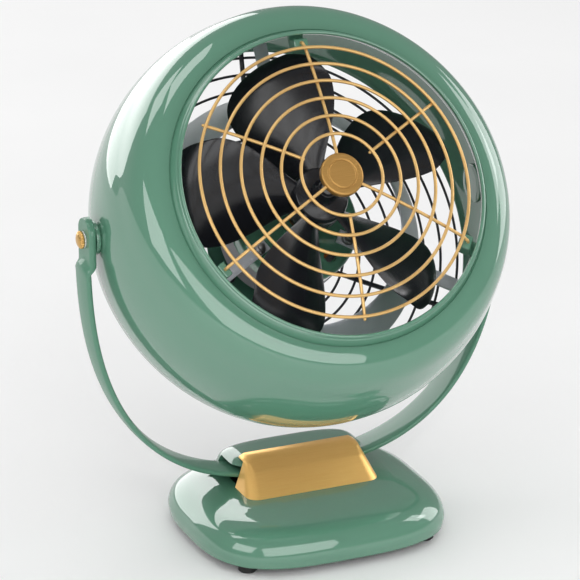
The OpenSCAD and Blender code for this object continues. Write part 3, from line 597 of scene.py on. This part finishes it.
def make_yoke():
    """The bent band, crowned across its width, with round stamped ends nearer to the head."""
    line = yoke_line()
    section = rounded([(-YOKE_W / 2, -YOKE_T / 2), (YOKE_W / 2, -YOKE_T / 2),
                       (YOKE_W / 2, YOKE_T / 2), (-YOKE_W / 2, YOKE_T / 2)], 2.1, 5, closed=True)
    # More points across the flats, so that the stamped ends can curve
    dense = []
    for i, p in enumerate(section):
        q = section[(i + 1) % len(section)]
        dense.append(p)
        if abs(q[0] - p[0]) > 5:
            dense += [(p[0] + (q[0] - p[0]) * k / 12, p[1]) for k in range(1, 12)]
    arch_r, arch_rise = 13.5, 9
    step_below, step_run = 18.5, 5.5
    rows = []
    for i, p in enumerate(line):
        ahead = line[min(i + 1, len(line) - 1)]
        behind = line[max(i - 1, 0)]
        tangent = (ahead - behind).normalized()
        out = Vector((tangent.z, 0, -tangent.x))
        rise = p.z - (PIVOT.z + 2)
        squeeze = 1.0
        if rise > 0:
            squeeze = math.sqrt(max(0.0, 1 - (rise / YOKE_END_R) ** 2)) * YOKE_END_R / (YOKE_W / 2)
        squeeze = max(0.03, min(1.0, squeeze))
        row = []
        for y, d in dense:
            arch = (1 - math.sqrt(max(0.0, 1 - (y / arch_r) ** 2))) * arch_rise
            step = smooth_step((p.z + arch - (PIVOT.z - step_below)) / step_run)
            crowned = d * (1 - YOKE_CROWN * (1 - step) * (y / (YOKE_W / 2)) ** 2)
            inward = Vector((-math.copysign(YOKE_JOGGLE, p.x), 0, 0)) * step
            row.append(Vector((0, PIVOT.y + y * squeeze, 0)) + p - out * crowned + inward)
        rows.append(row)
    verts, faces = grid(rows)
    width = len(dense)
    faces += [tuple(range(width))[::-1], tuple((len(rows) - 1) * width + k for k in range(width))]
    piece("yoke_band", (verts, faces), MM, "stand", GREEN_YOKE, ["yoke"])


def knurled(profile, teeth, depth, knurl_from, segments):
    """Turns an open outline round Z and cuts fine teeth where it is wider than knurl_from."""
    rows = []
    for r, z in profile:
        row = []
        for i in range(segments):
            t = 2 * math.pi * i / segments
            cut = depth * (0.5 + 0.5 * math.cos(teeth * t)) if r > knurl_from else 0.0
            row.append(((r - cut) * math.cos(t), (r - cut) * math.sin(t), z))
        rows.append(row)
    return grid(rows)


def make_pivots():
    """Knurled screws and bosses on both sides."""
    # Distances from the middle of the fan, along the pivots' axis
    face, shank_start = 155.05, 138.5
    head = rounded([(0.0, face + 3.75), (2.4, face + 3.7), (4.2, face + 3.2), (5.7, face + 2.2),
                    (6.15, face + 1.4), (6.15, face + 0.05), (4.0, face + 0.05), (4.0, shank_start),
                    (0, shank_start)], 0.4, 4)
    boss = rounded([(0, 136.05), (10, 136.05), (14, 136.2), (14, 139), (10, 139.3), (10, 144.6),
                    (11.4, 145.4), (11.4, 148.4), (4.0, 148.5), (4.0, shank_start),
                    (0, shank_start)], 0.7, 4)
    heads, bosses = [], []
    for side in (1, -1):
        place = Matrix.Translation(PIVOT_IN_HEAD) @ Matrix.Rotation(math.radians(90 * side), 4, "Y")
        screw_head = knurled(head, 24, 0.5, 5.2, 240)
        boss_block = lathe(boss, 96, closed=False)
        heads.append(([place @ Vector(v) for v in screw_head[0]], screw_head[1]))
        bosses.append(([place @ Vector(v) for v in boss_block[0]], boss_block[1]))
    piece("pivot_thumb_screws", join(*heads), HEAD, "head", GOLD_SCREW, ["pivot_screws"],
          merge=1e-4)
    piece("pivot_boss_pair", join(*bosses), HEAD, "head", GREEN, ["pivot_bosses"],
          merge=1e-4)


# ---------------------------------------------------------------- base
BASE_YC = -7
BASE_N = 3.2
BASE_T = 3
CROWN_T = 9.5
SHELF_Z = 33.5
# The seat of the gold cover ends here, and the yoke's tunnel begins
SEAT_Y = PIVOT.y - YOKE_W / 2 - 0.8
# Height, half width, half depth, exponent and middle of the base's outer form, from the crown down
BASE_FORM = [
    (52, 36, 10, 3.0, PIVOT.y + 7),
    (51.2, 44, 16, 3.2, PIVOT.y + 6),
    (49, 49, 21, 3.6, PIVOT.y + 5),
    (46, 51.5, 26, 3.8, PIVOT.y + 3),
    (41, 54, 33, 3.8, PIVOT.y - 1),
    (36, 57, 41, 3.8, PIVOT.y - 5),
    (33.9, 60.5, 47, 3.7, PIVOT.y - 9),
    (33, 65, 53.5, 3.5, PIVOT.y - 13),
    (32.1, 71, 61, 3.3, BASE_YC + 3),
    (30.8, 77, 67, BASE_N, BASE_YC + 1),
    (28.6, 82, 72, BASE_N, BASE_YC),
    (25.8, 85.8, 75.8, BASE_N, BASE_YC),
    (22.5, 88.4, 78.4, BASE_N, BASE_YC),
    (19, 90, 80, BASE_N, BASE_YC),
    (14, 91, 81, BASE_N, BASE_YC),
    (8, 90.2, 80.2, BASE_N, BASE_YC)]


def blended(sections, steps):
    """More sections on a smooth curve through the given ones."""
    out = []
    for i in range(len(sections) - 1):
        around = [sections[min(max(i + k, 0), len(sections) - 1)] for k in (-1, 0, 1, 2)]
        for j in range(steps):
            t = j / steps
            out.append(tuple(0.5 * (2 * b + (c - a) * t + (2 * a - 5 * b + 4 * c - d) * t * t
                                    + (3 * b - a - 3 * c + d) * t ** 3) for a, b, c, d in zip(*around)))
    out.append(sections[-1])
    return out


def block(low, high):
    """A plain cutting block between two corners."""
    corners = [Vector((x, y, z)) for z in (low[2], high[2]) for x, y in
               ((low[0], low[1]), (high[0], low[1]), (high[0], high[1]), (low[0], high[1]))]
    return corners, [(3, 2, 1, 0), (4, 5, 6, 7), (0, 1, 5, 4), (1, 2, 6, 5), (2, 3, 7, 6), (3, 0, 4, 7)]


def cut(obj, *shapes):
    """Takes solid shapes, in millimetres, away from an object."""
    for shape in shapes:
        mesh = bpy.data.meshes.new("cutter")
        mesh.from_pydata([tuple(v) for v in shape[0]], [], shape[1])
        mesh.transform(MM)
        cutter = bpy.data.objects.new("cutter", mesh)
        bpy.context.scene.collection.objects.link(cutter)
        step = obj.modifiers.new("cut", "BOOLEAN")
        step.object = cutter
        step.operation = "DIFFERENCE"
        step.solver = "EXACT"
        apply_modifiers(obj)
        bpy.data.objects.remove(cutter)


def make_base():
    """A hollow pillow with a crown, cut away for the gold cover and for the yoke."""
    outer = blended(BASE_FORM, 5)
    crown = outer[0]
    outer = [(crown[0], crown[1] * k, crown[2] * k, crown[3], crown[4]) for k in (0.02, 0.4, 0.8)] + outer
    # The wall is thicker in the crown, so that the cover's foot stands on it all round
    inner = []
    for i, (z, a, b, n, y) in enumerate(reversed(outer[3:])):
        inset = BASE_T + (CROWN_T - BASE_T) * smooth_step((z - SHELF_Z) / 2)
        inner.append((z if i == 0 else z - BASE_T, a - inset, max(b - inset, 4), n, y))
    inner += [(inner[-1][0], inner[-1][1] * k, inner[-1][2] * k, 3.0, inner[-1][4]) for k in (0.5, 0.02)]
    sides = 288
    rows = [superellipse(a, b, n, y, z, sides) for z, a, b, n, y in outer + inner]
    verts, faces = grid(rows)
    faces += [tuple(range(sides))[::-1], tuple((len(rows) - 1) * sides + k for k in range(sides))]
    obj = piece("base_casting", (verts, faces), MM, "stand", GREEN, ["base_shell"])
    reach, tunnel_top = 70, 48.2
    cut(obj, block((-reach, -reach, SHELF_Z), (reach, SEAT_Y, 80)),
        block((-reach, SEAT_Y - 0.01, SHELF_Z), (reach, PIVOT.y + YOKE_W / 2 + 0.8, tunnel_top)))
    mark_sharp(obj.data, 30)


def make_cover():
    """The gold cover: rows at rising heights, each one a U round the front, closed by a flat top."""
    foot_y, back_y = PIVOT.y - 39.8, PIVOT.y - 4.7
    shoulder_z, top_z, foot_half = 51, 55, 50
    side = rounded([(foot_y, SHELF_Z), (foot_y + 15.6, 47.6), (foot_y + 23.4, 52.4),
                    (back_y - 7.4, top_z)], 1.3, 4)
    (y0, z0), (y1, z1) = side[:2]
    side = [(y0 + (y1 - y0) * k / 10, z0 + (z1 - z0) * k / 10) for k in range(10)] + side[1:]
    # Behind the seat the cover is only a lip over the crown, so its sides step back at that height
    lip_z = 52.1
    upper = next(i for i, p in enumerate(side) if p[1] > lip_z)
    t = (lip_z - side[upper - 1][1]) / (side[upper][1] - side[upper - 1][1])
    lip_y = side[upper - 1][0] + (side[upper][0] - side[upper - 1][0]) * t
    side[upper:upper] = [(lip_y, lip_z - 0.04), (lip_y, lip_z)]
    rows = []
    for y, z in side:
        far = back_y if z >= lip_z else SEAT_Y
        if z < shoulder_z:
            half = foot_half - 6 * (z - SHELF_Z) / (shoulder_z - SHELF_Z)
        else:
            lift = (z - shoulder_z) / (top_z - shoulder_z)
            half = foot_half - 6 - 4 * (1 - math.sqrt(max(0.0, 1 - lift ** 2)))
        r = min(9 - 3.5 * (z - SHELF_Z) / (top_z - SHELF_Z), far - y - 0.3)
        right = [(half, far + (y + r - far) * k / 6, z) for k in range(6)]
        right += [(half - r + r * math.cos(math.radians(t)), y + r - r * math.sin(math.radians(t)), z)
                  for t in range(0, 91, 9)]
        rows.append([Vector(p) for p in right] + [Vector((-p[0], p[1], p[2])) for p in right[::-1]])
    verts, faces = grid(rows, wrap_cols=False)
    width = len(rows[0])
    faces.append(tuple((len(rows) - 1) * width + k for k in range(width)))
    obj = piece("gold_cover_shell", (verts, faces), MM, "stand", GOLD_SHEET, ["gold_cover"])
    wall = obj.modifiers.new("wall", "SOLIDIFY")
    wall.thickness = 0.0012
    wall.offset = -1
    wall.use_even_offset = True
    apply_modifiers(obj)
    mark_sharp(obj.data, 50)


# ---------------------------------------------------------------- camera, light and floor
def direction(azimuth, elevation):
    """A unit vector towards a viewer: azimuth 0 is in front and 90 is on the right."""
    a, e = math.radians(azimuth), math.radians(elevation)
    return Vector((math.sin(a) * math.cos(e), -math.cos(a) * math.cos(e), math.sin(e)))


def make_camera():
    """The camera at the photograph's angle, with a long lens."""
    azimuth, elevation, distance = -23.36, 20.84, 2.5
    back = direction(azimuth, elevation)
    right = Vector((0, 0, 1)).cross(back).normalized()
    data = bpy.data.cameras.new("camera")
    data.lens = 224.34
    data.sensor_width = 36
    data.clip_end = 30
    camera = bpy.data.objects.new("camera", data)
    target = Vector((-0.00639, 0.00593, 0.17336))
    turn = Matrix((right, back.cross(right), back)).transposed().to_4x4()
    camera.matrix_world = Matrix.Translation(target + back * distance) @ turn
    bpy.context.scene.collection.objects.link(camera)
    bpy.context.scene.camera = camera


def soft_box(name, towards, distance, width, height, radiance, fill=False, aim=0.2, spread=180):
    """A rectangular panel that faces the fan: it shows only in reflections, or only fills."""
    data = bpy.data.lights.new(name, "AREA")
    data.shape = "RECTANGLE"
    data.size = width
    data.size_y = height
    data.energy = radiance * width * height * math.pi
    data.spread = math.radians(spread)
    light = bpy.data.objects.new(name, data)
    bpy.context.scene.collection.objects.link(light)
    way = Vector(towards).normalized()
    light.location = Vector((0, 0, aim)) + way * distance
    light.rotation_euler = way.to_track_quat("Z", "Y").to_euler()
    light.visible_camera = False
    light.visible_diffuse = fill
    light.visible_glossy = not fill


def make_world():
    """White behind the fan for the camera, a bright sky for diffuse light and a dim one in reflections."""
    diffuse_strength, glossy_strength, seen_strength = 0.95, 0.3, 1.0
    world = bpy.data.worlds.new("studio")
    bpy.context.scene.world = world
    world.use_nodes = True
    nodes, links = world.node_tree.nodes, world.node_tree.links
    background = nodes["Background"]
    path = nodes.new("ShaderNodeLightPath")
    glossy = nodes.new("ShaderNodeMix")
    glossy.inputs["A"].default_value = diffuse_strength
    glossy.inputs["B"].default_value = glossy_strength
    links.new(path.outputs["Is Glossy Ray"], glossy.inputs["Factor"])
    seen = nodes.new("ShaderNodeMix")
    seen.inputs["B"].default_value = seen_strength
    links.new(glossy.outputs["Result"], seen.inputs["A"])
    links.new(path.outputs["Is Camera Ray"], seen.inputs["Factor"])
    background.inputs["Color"].default_value = (1, 1, 1, 1)
    links.new(seen.outputs["Result"], background.inputs["Strength"])


def make_floor():
    """A pale round floor."""
    radius = 6.0
    count = 64
    mesh = bpy.data.meshes.new("floor")
    turns = [2 * math.pi * i / count for i in range(count)]
    mesh.from_pydata([(radius * math.cos(t), radius * math.sin(t), 0) for t in turns], [],
                     [tuple(range(count))])
    floor = bpy.data.objects.new("floor", mesh)
    bpy.context.scene.collection.objects.link(floor)
    paint = Paint("pale_floor", Specular_IOR_Level=0.2)
    paint.colours(paint.noise(3), (0.92, 0.92, 0.92, 1), (0.95, 0.95, 0.95, 1))
    paint.roughness(paint.noise(8), 0.75, 0.85)
    mesh.materials.append(paint.material)


# ---------------------------------------------------------------- everything is made here
dress_cad_nodes()
make_casing()
make_grille()
make_hub_cap()
make_tabs()
make_blades()
make_deflector()
make_rear_guard()
make_yoke()
make_pivots()
make_base()
make_cover()
softened("motor_straps", "head", GREY, 0.3)
softened("strap_bolts", "head", ZINC, 0.2)
softened("rear_guard_ribs", "head", DARK_WIRE, 0.3)
make_camera()
make_world()
make_floor()
soft_box("left_panel", (-0.18, 0.93, 0.32), 2.0, 1.95, 1.5, 3.0)
soft_box("right_panel", (0.95, 0.0, 0.28), 1.6, 0.9, 1.0, 3.0)
soft_box("left_top_panel", (-0.45, 0.28, 0.85), 1.5, 0.5, 0.6, 3.0)
soft_box("top_panel", (-0.12, -0.02, 0.98), 1.4, 0.55, 0.45, 3.0)
soft_box("front_panel", (-0.08, -0.87, 0.34), 2.8, 2.7, 1.9, 2.2)
soft_box("front_left_panel", (-0.84, -0.36, 0.4), 2.0, 1.3, 1.1, 2.6)
soft_box("front_right_panel", (0.8, -0.25, 0.55), 1.6, 0.5, 0.6, 3.0)
soft_box("front_fill", (-0.25, -0.8, 0.5), 2.2, 1.2, 1.2, 1.2, fill=True)
soft_box("base_fill", (-0.22, -0.75, 0.55), 1.3, 0.35, 0.35, 0.1, fill=True, aim=0.035, spread=12)
bpy.context.scene.view_settings.view_transform = "Standard"
